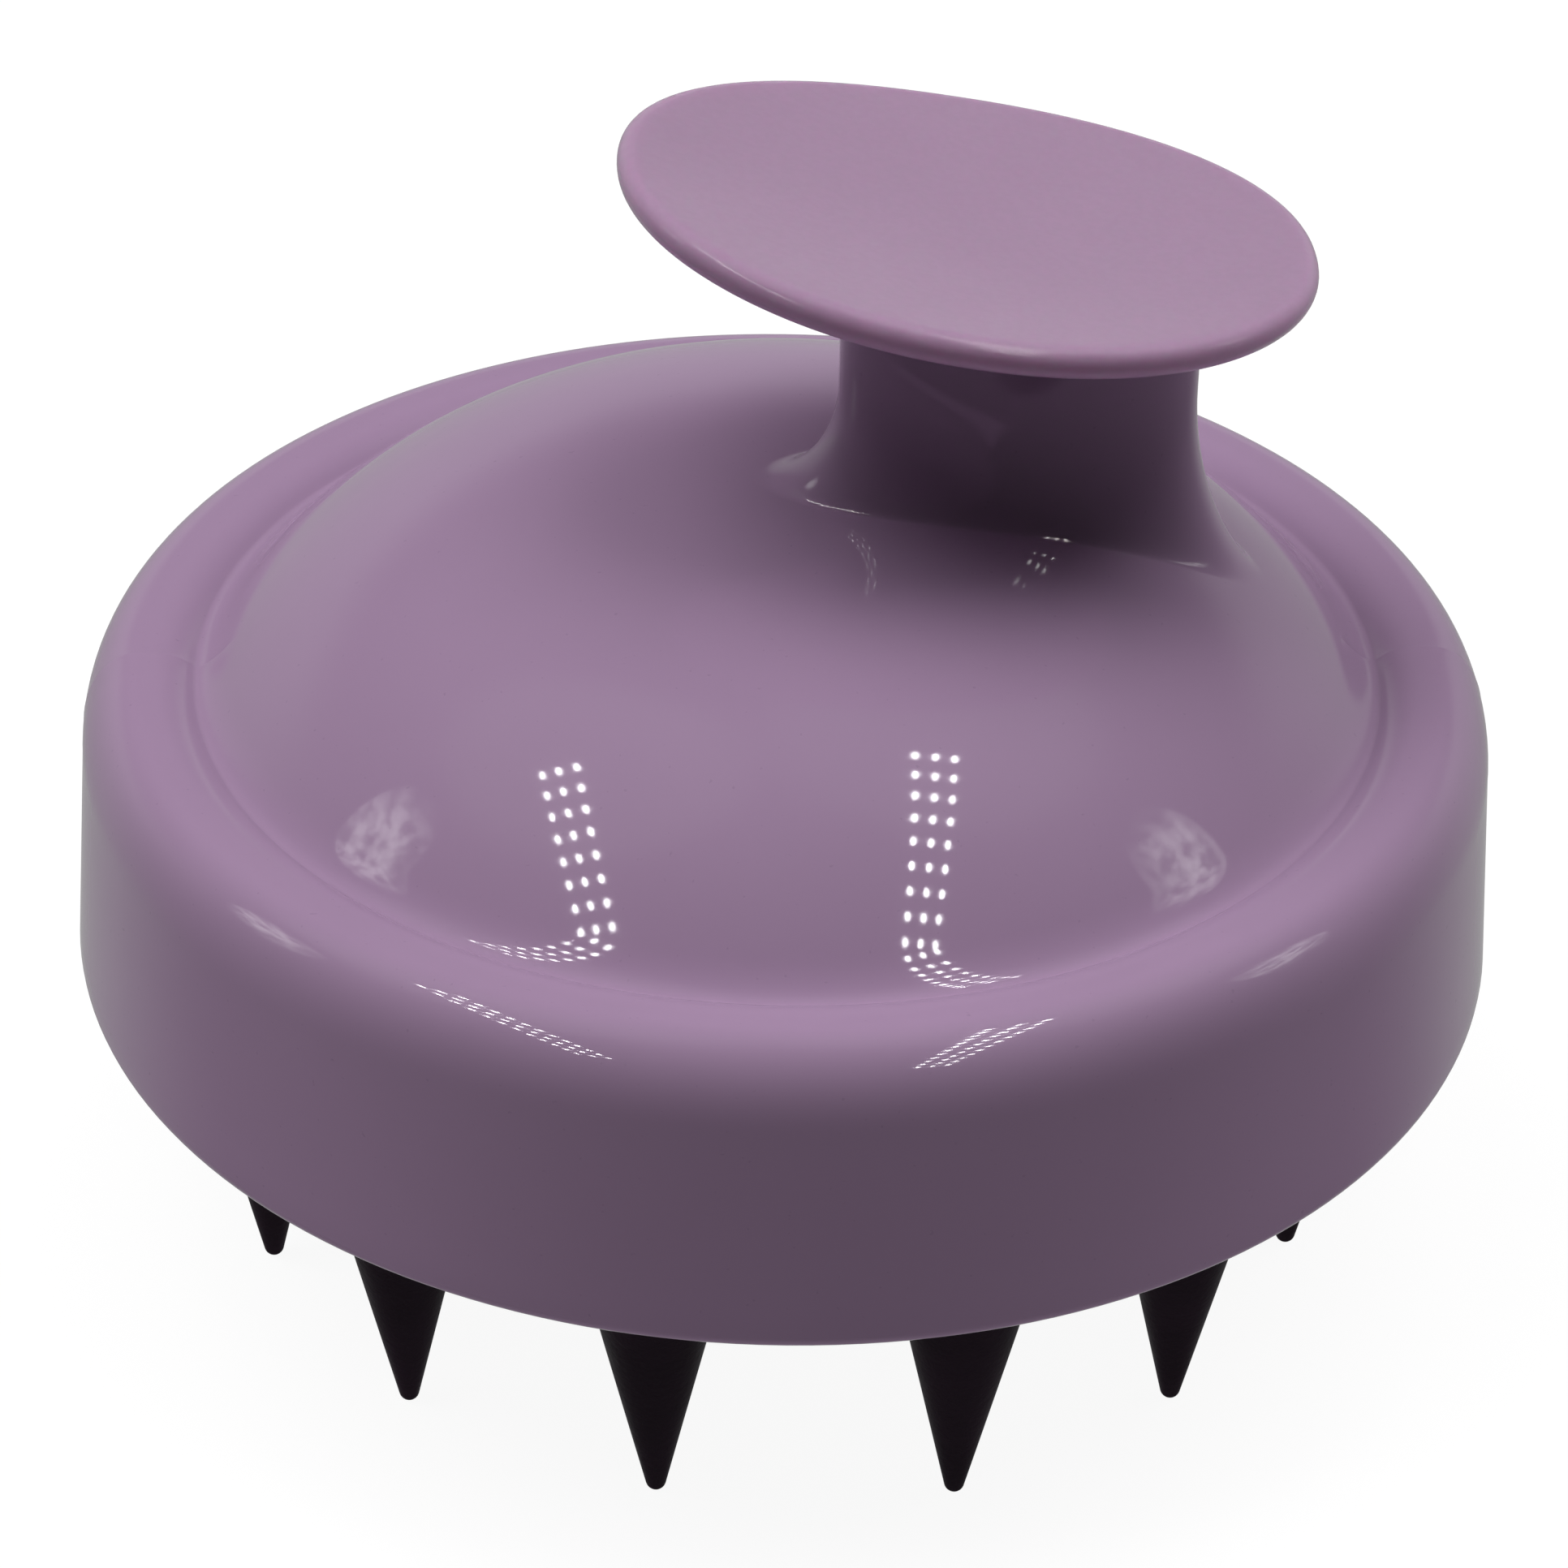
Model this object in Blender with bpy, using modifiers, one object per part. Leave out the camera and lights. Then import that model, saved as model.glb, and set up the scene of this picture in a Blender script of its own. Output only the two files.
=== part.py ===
"""Palm-held curry comb: a dished shell with an off-centre oval grip and a pad of soft conical teeth.

Metres, +Z up. The origin is on the shell's axis, on the plane that the outer teeth stand on.
+X points to the side that the grip is offset to, and the XZ plane is the mirror plane.
"""

from math import atan2, cos, pi, radians, sin, sqrt, tan

import bmesh
import bpy
from mathutils import Matrix, Vector

MM = 0.001
GAP = 0.3  # between touching pieces; every size below is in millimetres

# Shell: outer wall, rounded lip, groove and dome
EDGE_Z = 19.0
EDGE_RADIUS = 42.3
EDGE_ROUND = 1.0
LIP_Z = 37.8
LIP_RADIUS = 41.5
LIP_OUTER_ROUND = 3.9
LIP_INNER_ROUND = 2.5
LIP_CROWN_RADIUS = 36.1  # where the flat crown ends and the inner rounding starts
DOME_Z = 49.2
DOME_FOOT_Z = 36.2
DOME_FOOT_RADIUS = 34.5
DOME_POWER = 3.5
DOME_STOP_RADIUS = 33.2
WALL = 2.3
SHELL_STEPS = 48

# Neck: an oval column, flared into the dome below and towards the grip above
NECK_X = 12.9
NECK_HALF_WIDTH = 10.3
NECK_HALF_DEPTH = 4.6
NECK_POWER = 2.5
NECK_FOOT_Z = 55.5
NECK_FLARE_X = 5.0
NECK_FLARE_Y = 2.0
NECK_TOP_FLARE = 1.3
NECK_SIDES = 40
SLOT_WALL = 1.6
SLOT_OVERRUN = 0.6  # how far the neck's top runs in over the slot before it is cut
SLOT_FLOOR_Z = 51.5
SEAT_Z = 43.8  # flat under the dome that the grip screws bear on

# Grip: a thin oval palm pad, tilted down towards +X and dished
GRIP_X = 9.6
GRIP_Z = 65.9  # the middle of the top
GRIP_TILT = radians(9.4)
GRIP_HALF_LENGTH = 20.1
GRIP_HALF_WIDTH = 15.5
GRIP_THICKNESS = 2.0
DISH_X = 1.75  # rise from the middle to the long ends
DISH_Y = 0.85  # rise from the middle to the sides
TONGUE_Z = 52.6
GRIP_SCREW_X = (8.2, 17.6)
GRIP_SCREW_TIP_Z = 58.5

# Backing plate and its screws
PLATE_RADIUS = 36.6
PLATE_Z = 21.3
PLATE_THICKNESS = 3.2
SKIRT_TOP_Z = 28.0
SKIRT_WALL = 1.8
BOSS_REACH = 25.0
BOSS_RADIUS = 3.6
BOSS_ANGLES = tuple(radians(45 + 90 * k) for k in range(4))

# Tooth pad: a cup of silicone with three rings of teeth
PAD_RADIUS = 39.3
PAD_Z = 18.4
PAD_THICKNESS = 2.5
PAD_RIM_WALL = 2.2
PAD_RIM_TOP_Z = 25.5
TOOTH_SLOPE = 0.224
TOOTH_TIP_ROUND = 0.6
TOOTH_SIDES = 10
# Each ring of teeth: number, reach from the axis, height of the tips, first angle
TOOTH_RINGS = (
    (12, 32.0, 0.0, radians(15)),
    (8, 20.0, 5.6, radians(22.5)),
    (4, 8.5, 8.2, radians(45)),
)

PARTS = "curry_comb"
CUTTERS = "cutters"


def clear_scene():
    for obj in list(bpy.data.objects):
        bpy.data.objects.remove(obj, do_unlink=True)


def collection(name):
    made = bpy.data.collections.new(name)
    bpy.context.scene.collection.children.link(made)
    return made


def material(name, colour, roughness, metallic=0.0):
    made = bpy.data.materials.new(name)
    made.use_nodes = True
    shader = made.node_tree.nodes["Principled BSDF"]
    shader.inputs["Base Color"].default_value = (*colour, 1.0)
    shader.inputs["Roughness"].default_value = roughness
    shader.inputs["Metallic"].default_value = metallic
    return made


def add_object(name, mesh, finish=None):
    """A part where it has a finish, and otherwise a hidden tool for Booleans."""
    obj = bpy.data.objects.new(name, mesh)
    home = PARTS if finish else CUTTERS
    bpy.data.collections[home].objects.link(obj)
    if finish:
        mesh.materials.append(finish)
        mesh.shade_smooth()
        mesh.set_sharp_from_angle(angle=radians(35))
    else:
        obj.hide_render = True
        obj.display_type = "WIRE"
    return obj


def turned(name, profile, steps, finish=None):
    """A solid of revolution about Z from (radius, z) points that run down the outer side."""
    mesh = bpy.data.meshes.new(name)
    points = [(radius * MM, 0.0, z * MM) for radius, z in profile]
    edges = [(i, i + 1) for i in range(len(points) - 1)]
    if profile[0][0] > 0:
        edges.append((len(points) - 1, 0))
    mesh.from_pydata(points, edges, [])
    obj = add_object(name, mesh, finish)
    screw = obj.modifiers.new("turn", "SCREW")
    screw.steps = steps
    screw.render_steps = steps
    screw.use_merge_vertices = True
    screw.merge_threshold = 1e-6
    return obj


def cylinder(name, radius, bottom, top, steps=20):
    """A hidden cylinder on Z."""
    return turned(name, [(0, top), (radius, top), (radius, bottom), (0, bottom)], steps)


def loft(name, rings, finish=None):
    """A closed solid through rings of points, lowest ring first, each anticlockwise from above."""
    shape = bmesh.new()
    made = [[shape.verts.new(Vector(p) * MM) for p in ring] for ring in rings]
    count = len(made[0])
    for low, high in zip(made, made[1:]):
        for i in range(count):
            j = (i + 1) % count
            shape.faces.new((low[i], low[j], high[j], high[i]))
    shape.faces.new(list(reversed(made[0])))
    shape.faces.new(made[-1])
    mesh = bpy.data.meshes.new(name)
    shape.to_mesh(mesh)
    shape.free()
    return add_object(name, mesh, finish)


def combine(obj, other, operation):
    step = obj.modifiers.new(f"{operation.lower()} {other.name}", "BOOLEAN")
    step.operation = operation
    step.object = other
    step.solver = "EXACT"


def arc(radius, z, size, start, end, count):
    """Points on a circle about (radius, z), from one angle to the other, in degrees from +radius."""
    angles = [radians(start + (end - start) * i / (count - 1)) for i in range(count)]
    return [(radius + size * cos(a), z + size * sin(a)) for a in angles]


def dome_height(radius):
    fall = (radius / DOME_FOOT_RADIUS) ** DOME_POWER
    return DOME_FOOT_Z + (DOME_Z - DOME_FOOT_Z) * (1 - fall)


def oval(half_x, half_y, power=2.0, sides=NECK_SIDES):
    """Points (x, y) around a superellipse."""
    points = []
    for i in range(sides):
        angle = 2 * pi * i / sides
        c, s = cos(angle), sin(angle)
        x = half_x * abs(c) ** (2 / power) * (1 if c >= 0 else -1)
        y = half_y * abs(s) ** (2 / power) * (1 if s >= 0 else -1)
        points.append((x, y))
    return points


def dish(x, y):
    """How far the grip rises at this place, counted along its own axes from the middle."""
    return DISH_X * (x / GRIP_HALF_LENGTH) ** 2 + DISH_Y * (y / GRIP_HALF_WIDTH) ** 2


def grip_underside(x, y):
    """Height of the grip's underside at this place."""
    level = GRIP_Z - GRIP_THICKNESS / cos(GRIP_TILT) - (x - GRIP_X) * tan(GRIP_TILT)
    return level + dish((x - GRIP_X) / cos(GRIP_TILT), y)


def shell_profile():
    dome_radii = (0.0, 8.0, 14.0, 19.0, 23.0, 26.5, 29.5, 31.5, DOME_STOP_RADIUS)
    dome = [(r, dome_height(r)) for r in dome_radii]
    lip_in = arc(LIP_CROWN_RADIUS, LIP_Z - LIP_INNER_ROUND, LIP_INNER_ROUND, 142, 90, 4)
    outer_centre = LIP_RADIUS - LIP_OUTER_ROUND
    lip_out = arc(outer_centre, LIP_Z - LIP_OUTER_ROUND, LIP_OUTER_ROUND, 90, 0, 6)
    edge_centre = EDGE_RADIUS - EDGE_ROUND
    edge = arc(edge_centre, EDGE_Z + EDGE_ROUND, EDGE_ROUND, 0, -90, 4)
    inner_wall = EDGE_RADIUS - WALL
    roof_z = LIP_Z - WALL
    inside = [(inner_wall, EDGE_Z), (LIP_RADIUS - WALL, roof_z - 2.0), (LIP_RADIUS - WALL - 2.0, roof_z)]
    inside += [(35.2, roof_z), (33.4, roof_z - 0.6)]
    slopes = ((31.0, 1.5), (28.0, 1.3), (23.0, 1.1), (14.0, 1.0))
    under = [(r, dome_height(r) - WALL * slope) for r, slope in slopes]
    return dome + lip_in + lip_out + edge + inside + under + [(0.0, DOME_Z - WALL)]


def neck_rings():
    waist = oval(NECK_HALF_WIDTH, NECK_HALF_DEPTH, NECK_POWER)
    foot = oval(NECK_HALF_WIDTH + NECK_FLARE_X, NECK_HALF_DEPTH + NECK_FLARE_Y, NECK_POWER)
    rings = []
    for angle in (0, 20, 40, 60, 78, 90):
        share = sin(radians(angle))
        lift = 1 - cos(radians(angle))
        ring = []
        for (wx, wy), (fx, fy) in zip(waist, foot):
            x = NECK_X + fx + (wx - fx) * share
            y = fy + (wy - fy) * share
            start = dome_height(sqrt((NECK_X + wx) ** 2 + wy**2))
            ring.append((x, y, dome_height(sqrt(x * x + y * y)) + (NECK_FOOT_Z - start) * lift))
        rings.append(ring)
    rings.insert(0, [(x, y, z - WALL / 2) for x, y, z in rings[0]])
    for drop, spread in ((1.6, 0.0), (0.7, 0.25), (0.25, 0.65), (0.0, 1.0)):
        grow = NECK_TOP_FLARE * spread
        ring = []
        for x, y in oval(NECK_HALF_WIDTH + grow, NECK_HALF_DEPTH + grow, NECK_POWER):
            ring.append((NECK_X + x, y, grip_underside(NECK_X + x, y) - GAP - drop))
        rings.append(ring)
    for inset in (SLOT_WALL / 2, SLOT_WALL + SLOT_OVERRUN):
        seat = oval(NECK_HALF_WIDTH - inset, NECK_HALF_DEPTH - inset, NECK_POWER)
        rings.append([(NECK_X + x, y, grip_underside(NECK_X + x, y) - GAP) for x, y in seat])
    return rings


def oval_prism(name, half_x, half_y, bottom, top, power=NECK_POWER):
    """A hidden upright oval prism on the neck's axis, its top flat or following the grip's underside."""
    outline = oval(half_x, half_y, power, NECK_SIDES // 2)
    low = [(NECK_X + x, y, bottom) for x, y in outline]
    if top is None:
        high = [(NECK_X + x, y, grip_underside(NECK_X + x, y) + GRIP_THICKNESS / 2) for x, y in outline]
    else:
        high = [(NECK_X + x, y, top) for x, y in outline]
    return loft(name, [low, high])


def boss_places():
    return [(BOSS_REACH * cos(a), BOSS_REACH * sin(a)) for a in BOSS_ANGLES]


def make_shell(finish):
    shell = turned("shell", shell_profile(), SHELL_STEPS, finish)
    combine(shell, loft("neck_form", neck_rings()), "UNION")
    seat = oval_prism("screw_seat", NECK_HALF_WIDTH, NECK_HALF_DEPTH, SEAT_Z, SLOT_FLOOR_Z + 0.5)
    combine(shell, seat, "UNION")
    slot_x, slot_y = NECK_HALF_WIDTH - SLOT_WALL, NECK_HALF_DEPTH - SLOT_WALL
    combine(shell, oval_prism("neck_slot", slot_x, slot_y, SLOT_FLOOR_Z, None), "DIFFERENCE")
    for i, x in enumerate(GRIP_SCREW_X, 1):
        hole = cylinder(f"grip_screw_way_{i}", 1.35, SEAT_Z - 5, SLOT_FLOOR_Z + 1)
        hole.location.x = x * MM
        combine(shell, hole, "DIFFERENCE")
    boss_foot = PLATE_Z + PLATE_THICKNESS + GAP
    boss_top = dome_height(BOSS_REACH + BOSS_RADIUS) - WALL / 2
    for i, (x, y) in enumerate(boss_places(), 1):
        boss = cylinder(f"boss_{i}", BOSS_RADIUS, boss_foot, boss_top)
        boss.location = (x * MM, y * MM, 0)
        combine(shell, boss, "UNION")
        hole = cylinder(f"boss_hole_{i}", 1.7, boss_foot - 2, boss_foot + 12)
        hole.location = (x * MM, y * MM, 0)
        combine(shell, hole, "DIFFERENCE")
    return shell


def make_grip(finish):
    """The dished oval with a flat middle and a full round edge, and the tongue that reaches into the neck."""
    rounding = GRIP_THICKNESS / 2
    tilt = Matrix.Rotation(GRIP_TILT, 4, "Y")
    flat_x, flat_y = GRIP_HALF_LENGTH - rounding, GRIP_HALF_WIDTH - rounding
    shares = (0.25, 0.5, 0.76)
    outlines = [(flat_x * share, flat_y * share, -GRIP_THICKNESS) for share in shares]
    for angle in (-90, -50, -15, 15, 50, 90):
        reach = rounding * cos(radians(angle))
        outlines.append((flat_x + reach, flat_y + reach, rounding * (sin(radians(angle)) - 1)))
    outlines += [(flat_x * share, flat_y * share, 0) for share in reversed(shares)]
    rings = []
    for i, (half_x, half_y, height) in enumerate(outlines):
        ring = []
        for x, y in oval(half_x, half_y):
            rise = dish(x, y) if 0 < i < len(outlines) - 1 else 0.0
            ring.append(tilt @ Vector((x, y, height + rise)) + Vector((GRIP_X, 0, GRIP_Z)))
        rings.append(ring)
    grip = loft("grip_cap", rings, finish)
    tongue_x = NECK_HALF_WIDTH - SLOT_WALL - GAP
    tongue_y = NECK_HALF_DEPTH - SLOT_WALL - GAP
    combine(grip, oval_prism("tongue", tongue_x, tongue_y, TONGUE_Z, None), "UNION")
    for i, x in enumerate(GRIP_SCREW_X, 1):
        hole = cylinder(f"tongue_hole_{i}", 1.35, TONGUE_Z - 1, GRIP_SCREW_TIP_Z + 1)
        hole.location.x = x * MM
        combine(grip, hole, "DIFFERENCE")
    return grip


def screw_profile(head_radius, head_height, shank_radius, length):
    """A pan-head screw that points up from its head, with the head's underside at z = 0."""
    tip = [(0.0, length), (shank_radius * 0.35, length - 0.2), (shank_radius, length - 1.2)]
    neck = [(shank_radius, 0.0), (head_radius, 0.0)]
    head = [(head_radius, -0.6 * head_height), (0.7 * head_radius, -head_height), (0.0, -head_height)]
    return tip + neck + head


def make_screws(finish):
    screws = []
    length = GRIP_SCREW_TIP_Z - SEAT_Z + GAP
    for i, x in enumerate(GRIP_SCREW_X, 1):
        screw = turned(f"grip_screw_{i}", screw_profile(2.2, 1.6, 1.0, length), 16, finish)
        screw.location = (x * MM, 0, (SEAT_Z - GAP) * MM)
        screws.append(screw)
    head_seat = PLATE_Z + 2.0 - GAP
    for i, (x, y) in enumerate(boss_places(), 1):
        screw = turned(f"plate_screw_{i}", screw_profile(2.6, 1.5, 1.35, 11.0), 16, finish)
        screw.location = (x * MM, y * MM, head_seat * MM)
        screws.append(screw)
    return screws


def make_plate(finish):
    """The hard disc behind the pad, with a skirt that centres it and a counterbore for each screw."""
    top = PLATE_Z + PLATE_THICKNESS
    outer = PLATE_RADIUS
    profile = [(0, top), (outer - SKIRT_WALL, top), (outer - SKIRT_WALL, SKIRT_TOP_Z), (outer, SKIRT_TOP_Z)]
    profile += [(outer, PLATE_Z + 0.6), (outer - 0.6, PLATE_Z), (0, PLATE_Z)]
    plate = turned("backing_plate", profile, SHELL_STEPS, finish)
    for i, (x, y) in enumerate(boss_places(), 1):
        for name, radius, low, high in (
            (f"plate_hole_{i}", 1.7, PLATE_Z - 1, top + 1),
            (f"plate_counterbore_{i}", 3.0, PLATE_Z - 1, PLATE_Z + 2.0),
        ):
            hole = cylinder(name, radius, low, high)
            hole.location = (x * MM, y * MM, 0)
            combine(plate, hole, "DIFFERENCE")
    return plate


def tooth_profile(tip_z):
    """A cone with a ball tip, from inside the pad down to tip_z, as (radius, z)."""
    lean = atan2(TOOTH_SLOPE, 1)
    top_z = PAD_Z + PAD_THICKNESS / 2
    ball_z = tip_z + TOOTH_TIP_ROUND
    edge_radius = TOOTH_TIP_ROUND * cos(lean)
    edge_z = ball_z - TOOTH_TIP_ROUND * sin(lean)
    base = edge_radius + TOOTH_SLOPE * (top_z - edge_z)
    root = edge_radius + TOOTH_SLOPE * (PAD_Z - edge_z)
    ball = arc(0, ball_z, TOOTH_TIP_ROUND, -35, -90, 3)
    return [(0, top_z), (base, top_z), (root, PAD_Z), (edge_radius, edge_z)] + ball[:-1] + [(0, tip_z)]


def make_pad(finish):
    top = PAD_Z + PAD_THICKNESS
    inner = PAD_RADIUS - PAD_RIM_WALL
    profile = [(0, top), (inner, top), (inner, PAD_RIM_TOP_Z), (PAD_RADIUS - 0.5, PAD_RIM_TOP_Z)]
    profile += [(PAD_RADIUS, PAD_RIM_TOP_Z - 0.5), (PAD_RADIUS, PAD_Z + 0.8)]
    profile += [(PAD_RADIUS - 0.8, PAD_Z), (0, PAD_Z)]
    pad = turned("tooth_pad", profile, SHELL_STEPS, finish)
    for ring, (count, reach, tip_z, first) in enumerate(TOOTH_RINGS, 1):
        for k in range(count):
            angle = first + 2 * pi * k / count
            tooth = turned(f"tooth_{ring}_{k + 1}", tooth_profile(tip_z), TOOTH_SIDES)
            tooth.location = (reach * cos(angle) * MM, reach * sin(angle) * MM, 0)
            combine(pad, tooth, "UNION")
    return pad


def main():
    clear_scene()
    collection(PARTS)
    collection(CUTTERS)
    gloss = material("lilac_gloss_plastic", (0.39, 0.25, 0.38), 0.16)
    satin = material("lilac_satin_plastic", (0.40, 0.27, 0.38), 0.42)
    inner = material("grey_inner_plastic", (0.30, 0.22, 0.30), 0.45)
    silicone = material("plum_silicone", (0.03, 0.014, 0.026), 0.5)
    steel = material("zinc_steel", (0.55, 0.55, 0.57), 0.32, 1.0)
    make_shell(gloss)
    make_grip(satin)
    make_plate(inner)
    make_pad(silicone)
    make_screws(steel)


main()
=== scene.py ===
"""The looks of a palm-held curry comb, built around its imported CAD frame.

One glossy lilac shell with a rounded lip, a dome and a flared neck, a satin oval grip, a pad of dark
silicone teeth, and behind it the plate and screws. Shapes are worked out in millimetres, in the CAD's
frame: +Z up, the teeth standing on z = 0, +X towards the side that the grip is offset to.
"""

import random
from math import atan2, cos, degrees, exp, hypot, pi, radians, sin, tan

import bmesh
import bpy
from mathutils import Matrix, Quaternion, Vector


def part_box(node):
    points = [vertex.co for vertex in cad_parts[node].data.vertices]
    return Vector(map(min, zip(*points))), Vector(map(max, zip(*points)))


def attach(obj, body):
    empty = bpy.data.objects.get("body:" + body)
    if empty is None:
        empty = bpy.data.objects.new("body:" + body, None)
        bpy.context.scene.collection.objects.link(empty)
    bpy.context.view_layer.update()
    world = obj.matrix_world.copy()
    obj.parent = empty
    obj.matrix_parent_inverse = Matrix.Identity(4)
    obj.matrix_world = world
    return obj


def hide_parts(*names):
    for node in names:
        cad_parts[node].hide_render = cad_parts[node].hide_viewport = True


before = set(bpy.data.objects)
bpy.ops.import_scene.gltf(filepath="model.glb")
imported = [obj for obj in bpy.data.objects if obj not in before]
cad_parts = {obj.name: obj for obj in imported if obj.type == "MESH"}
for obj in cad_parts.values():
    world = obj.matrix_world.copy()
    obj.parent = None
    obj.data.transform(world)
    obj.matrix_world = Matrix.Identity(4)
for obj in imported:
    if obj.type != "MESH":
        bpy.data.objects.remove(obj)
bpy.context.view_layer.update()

MM = 0.001
GAP = 0.3  # left between touching pieces; every size below is in millimetres


def node_box(node):
    """Lowest and highest corner of a CAD node, in millimetres."""
    low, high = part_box(node)
    return low / MM, high / MM


SHELL_LOW, SHELL_HIGH = node_box("shell")
GRIP_LOW, GRIP_HIGH = node_box("grip_cap")
PLATE_LOW, PLATE_HIGH = node_box("backing_plate")
PAD_HIGH = node_box("tooth_pad")[1]

# Shell: outer wall, rounded lip, groove and dome
SHELL_SIDES = 192
EDGE_Z = SHELL_LOW.z
EDGE_RADIUS = SHELL_HIGH.x
EDGE_ROUND = 1.0
LIP_Z = EDGE_Z + 18.8
LIP_RADIUS = EDGE_RADIUS - 0.8
LIP_OUTER_REACH = 3.4
LIP_OUTER_DROP = 5.0
LIP_INNER_ROUND = 3.4
LIP_CROWN_RADIUS = LIP_RADIUS - 4.3  # where the flat crown ends and the inner rounding starts
LIP_INNER_ANGLE = 132  # degrees round the inner rounding where the groove's fillet takes over
DOME_Z = LIP_Z + 11.4
DOME_FOOT_Z = LIP_Z - 1.6
DOME_FOOT_RADIUS = 34.5
DOME_POWER = 3.5
DOME_STOP_RADIUS = 32.7
WALL = 2.3
PARTING_HEIGHT = 0.025
PARTING_HALF_WIDTH = 0.14
UNDER_END_RADIUS = 32.4  # where the dome's underside runs into the hollow of the lip

# Neck: an oval column, flared into the dome below and towards the grip above
NECK_X = 12.9
NECK_HALF_WIDTH = 10.3
NECK_HALF_DEPTH = 4.5
NECK_POWER = 2.5
NECK_FOOT_Z = DOME_Z + 6.3
NECK_FLARE_X = 4.7
NECK_FLARE_Y = 0.8
FOOT_TURN = radians(-3)
FOOT_FORWARD = 0.1
NECK_TOP_FLARE = 1.3
NECK_TOP_DROP = 1.6
NECK_RIM_WIDTH = 0.7  # the flat rim under the grip
NECK_RIM_DROP = 0.08  # how far the rim falls towards its outer edge
NECK_RIM_BREAK = 0.1  # how far that edge is broken
SLOT_WALL = 1.6
SLOT_MOUTH_DROP = 0.3
SLOT_FLOOR_Z = DOME_Z + 2.3
SEAT_Z = DOME_Z - 5.4
DIMPLE_X = NECK_X
DIMPLE_Z = 59.85
DIMPLE_RADIUS = 2.0
DIMPLE_DEPTH = 0.6
SEAM = 0.06  # hairline between the grip and the neck

# Grip: a thin oval palm pad, tilted down towards +X and dished
GRIP_SIDES = 160
GRIP_TILT = radians(9.36)
GRIP_HALF_LENGTH = 20.08
GRIP_HALF_WIDTH = GRIP_HIGH.y
GRIP_THICKNESS = 2.0
GRIP_POWER = 2.12
GRIP_X = 9.6
GRIP_Z = 65.87  # the middle of the top
DISH_X = 1.75  # rise from the middle to the long ends
DISH_Y = 0.85  # rise from the middle to the sides
TONGUE_Z = GRIP_LOW.z
TONGUE_BREAK = 0.4
GRIP_SCREWS = ("grip_screw_1", "grip_screw_2")
GRIP_SCREW_WAY = 1.35  # radius of its way through the shell
GRIP_SCREW_HOLE = 1.1
GRIP_SCREW_HOLE_TOP = 59.5
# Screws: radius and height of the head, radius of the shank, pitch
GRIP_SCREW_SIZE = (2.2, 1.6, 1.0, 0.8)
PLATE_SCREW_SIZE = (2.6, 1.5, 1.35, 1.1)

# Backing plate
PLATE_RADIUS = PLATE_HIGH.x
PLATE_THICKNESS = 3.2
SKIRT_WALL = 1.8
PLATE_SCREWS = ("plate_screw_1", "plate_screw_2", "plate_screw_3", "plate_screw_4")
BOSS_RADIUS = 3.6
BOSS_HOLE_RADIUS = 1.7
COUNTERBORE_RADIUS = 3.0
COUNTERBORE_DEPTH = 2.0
PLATE_GROOVES = (31.2, 17.0)  # radii of its moulded rings

# Tooth pad
PAD_RADIUS = PAD_HIGH.x
PAD_Z = 18.4
PAD_THICKNESS = 2.5
PAD_RIM_WALL = 2.2
TOOTH_SIDES = 32
TOOTH_SLOPE = 0.224
TOOTH_TIP_ROUND = 0.6
TOOTH_ROOT_ROUND = 0.9
TOOTH_LEAN = 0.15
# Each ring of teeth: number, reach from the axis, height of the tips, first angle
TOOTH_RINGS = (
    (12, 32.0, 0.0, radians(15)),
    (8, 20.0, 5.6, radians(22.5)),
    (4, 8.5, 8.2, radians(45)),
)
# Teeth that stand a little out of line: ring and number, shift in x and y
TOOTH_SHIFTS = {(1, 10): (0.9, -0.45), (1, 11): (-0.2, -0.5), (1, 7): (-0.1, -0.3)}

# Camera, round the middle of the lip's plane
CAMERA_AZIMUTH = radians(-2.83)
CAMERA_ELEVATION = radians(31.8)
CAMERA_ROLL = radians(1.2)
CAMERA_DISTANCE = 332.0
CAMERA_LENS = 129.4
CAMERA_AIM = Vector((-0.045, 0.0, 28.36))

# Colours, scene-linear
SHELL_COLOUR = (0.355, 0.237, 0.368)
GRIP_COLOUR = (0.412, 0.278, 0.406)
INNER_COLOUR = (0.26, 0.19, 0.26)
# Silicone: its own plum hue, darkened nearly to black as painted shade from under the shell
SILICONE_WITH_PAINTED_SHADE_COLOUR = (0.018, 0.003, 0.016)
ZINC_DARK = (0.50, 0.51, 0.53)
ZINC_PALE = (0.66, 0.66, 0.65)
WHITE = (1.0, 1.0, 1.0, 1.0)

# Floor: a pale disc just under the tips of the teeth, lit mostly from itself
FLOOR_RADIUS = 6000.0
FLOOR_Z = -0.05
FLOOR_COLOUR = (0.10, 0.10, 0.10, 1.0)
FLOOR_GLOW = 0.93

# Studio: two big soft boxes high on either side, and what the pale room and table send back
SOFT_BOXES = (
    # azimuth and elevation of the middle, strength
    (radians(-94), radians(65), 4.5),
    (radians(105), radians(70), 3.7),
)
SOFT_BOX_EDGE = (cos(radians(25)), cos(radians(17)))
SOFT_BOX_GLOSS = 0.05
ROOM_LEFT = 0.8
ROOM_RIGHT = 1.15
TABLE_BOUNCE = 1.12
SURROUND_EDGE = (0.1, 0.7)
SURROUND_LIGHT = 0.35
STUDIO_BASE = 0.03

# Panels of small ceiling lights, in glossy surfaces only: name, first dot, step to next row and column
LED_PANELS = (
    ("panel_left", (-459, -6, 840), (-6.1, -74.6, -16.4), (51.7, 4.4, -1.6)),
    ("panel_right", (264.4, 14, 840), (5.1, -73.8, -19.1), (40.9, -3.8, 1.3)),
)
LED_ROWS = 12
LED_COLUMNS = 3
DOT_LENGTH = 0.18  # of the step from row to row
DOT_WIDTH = 0.14  # of the step from column to column
DOT_LIGHT = 60.0

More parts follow.
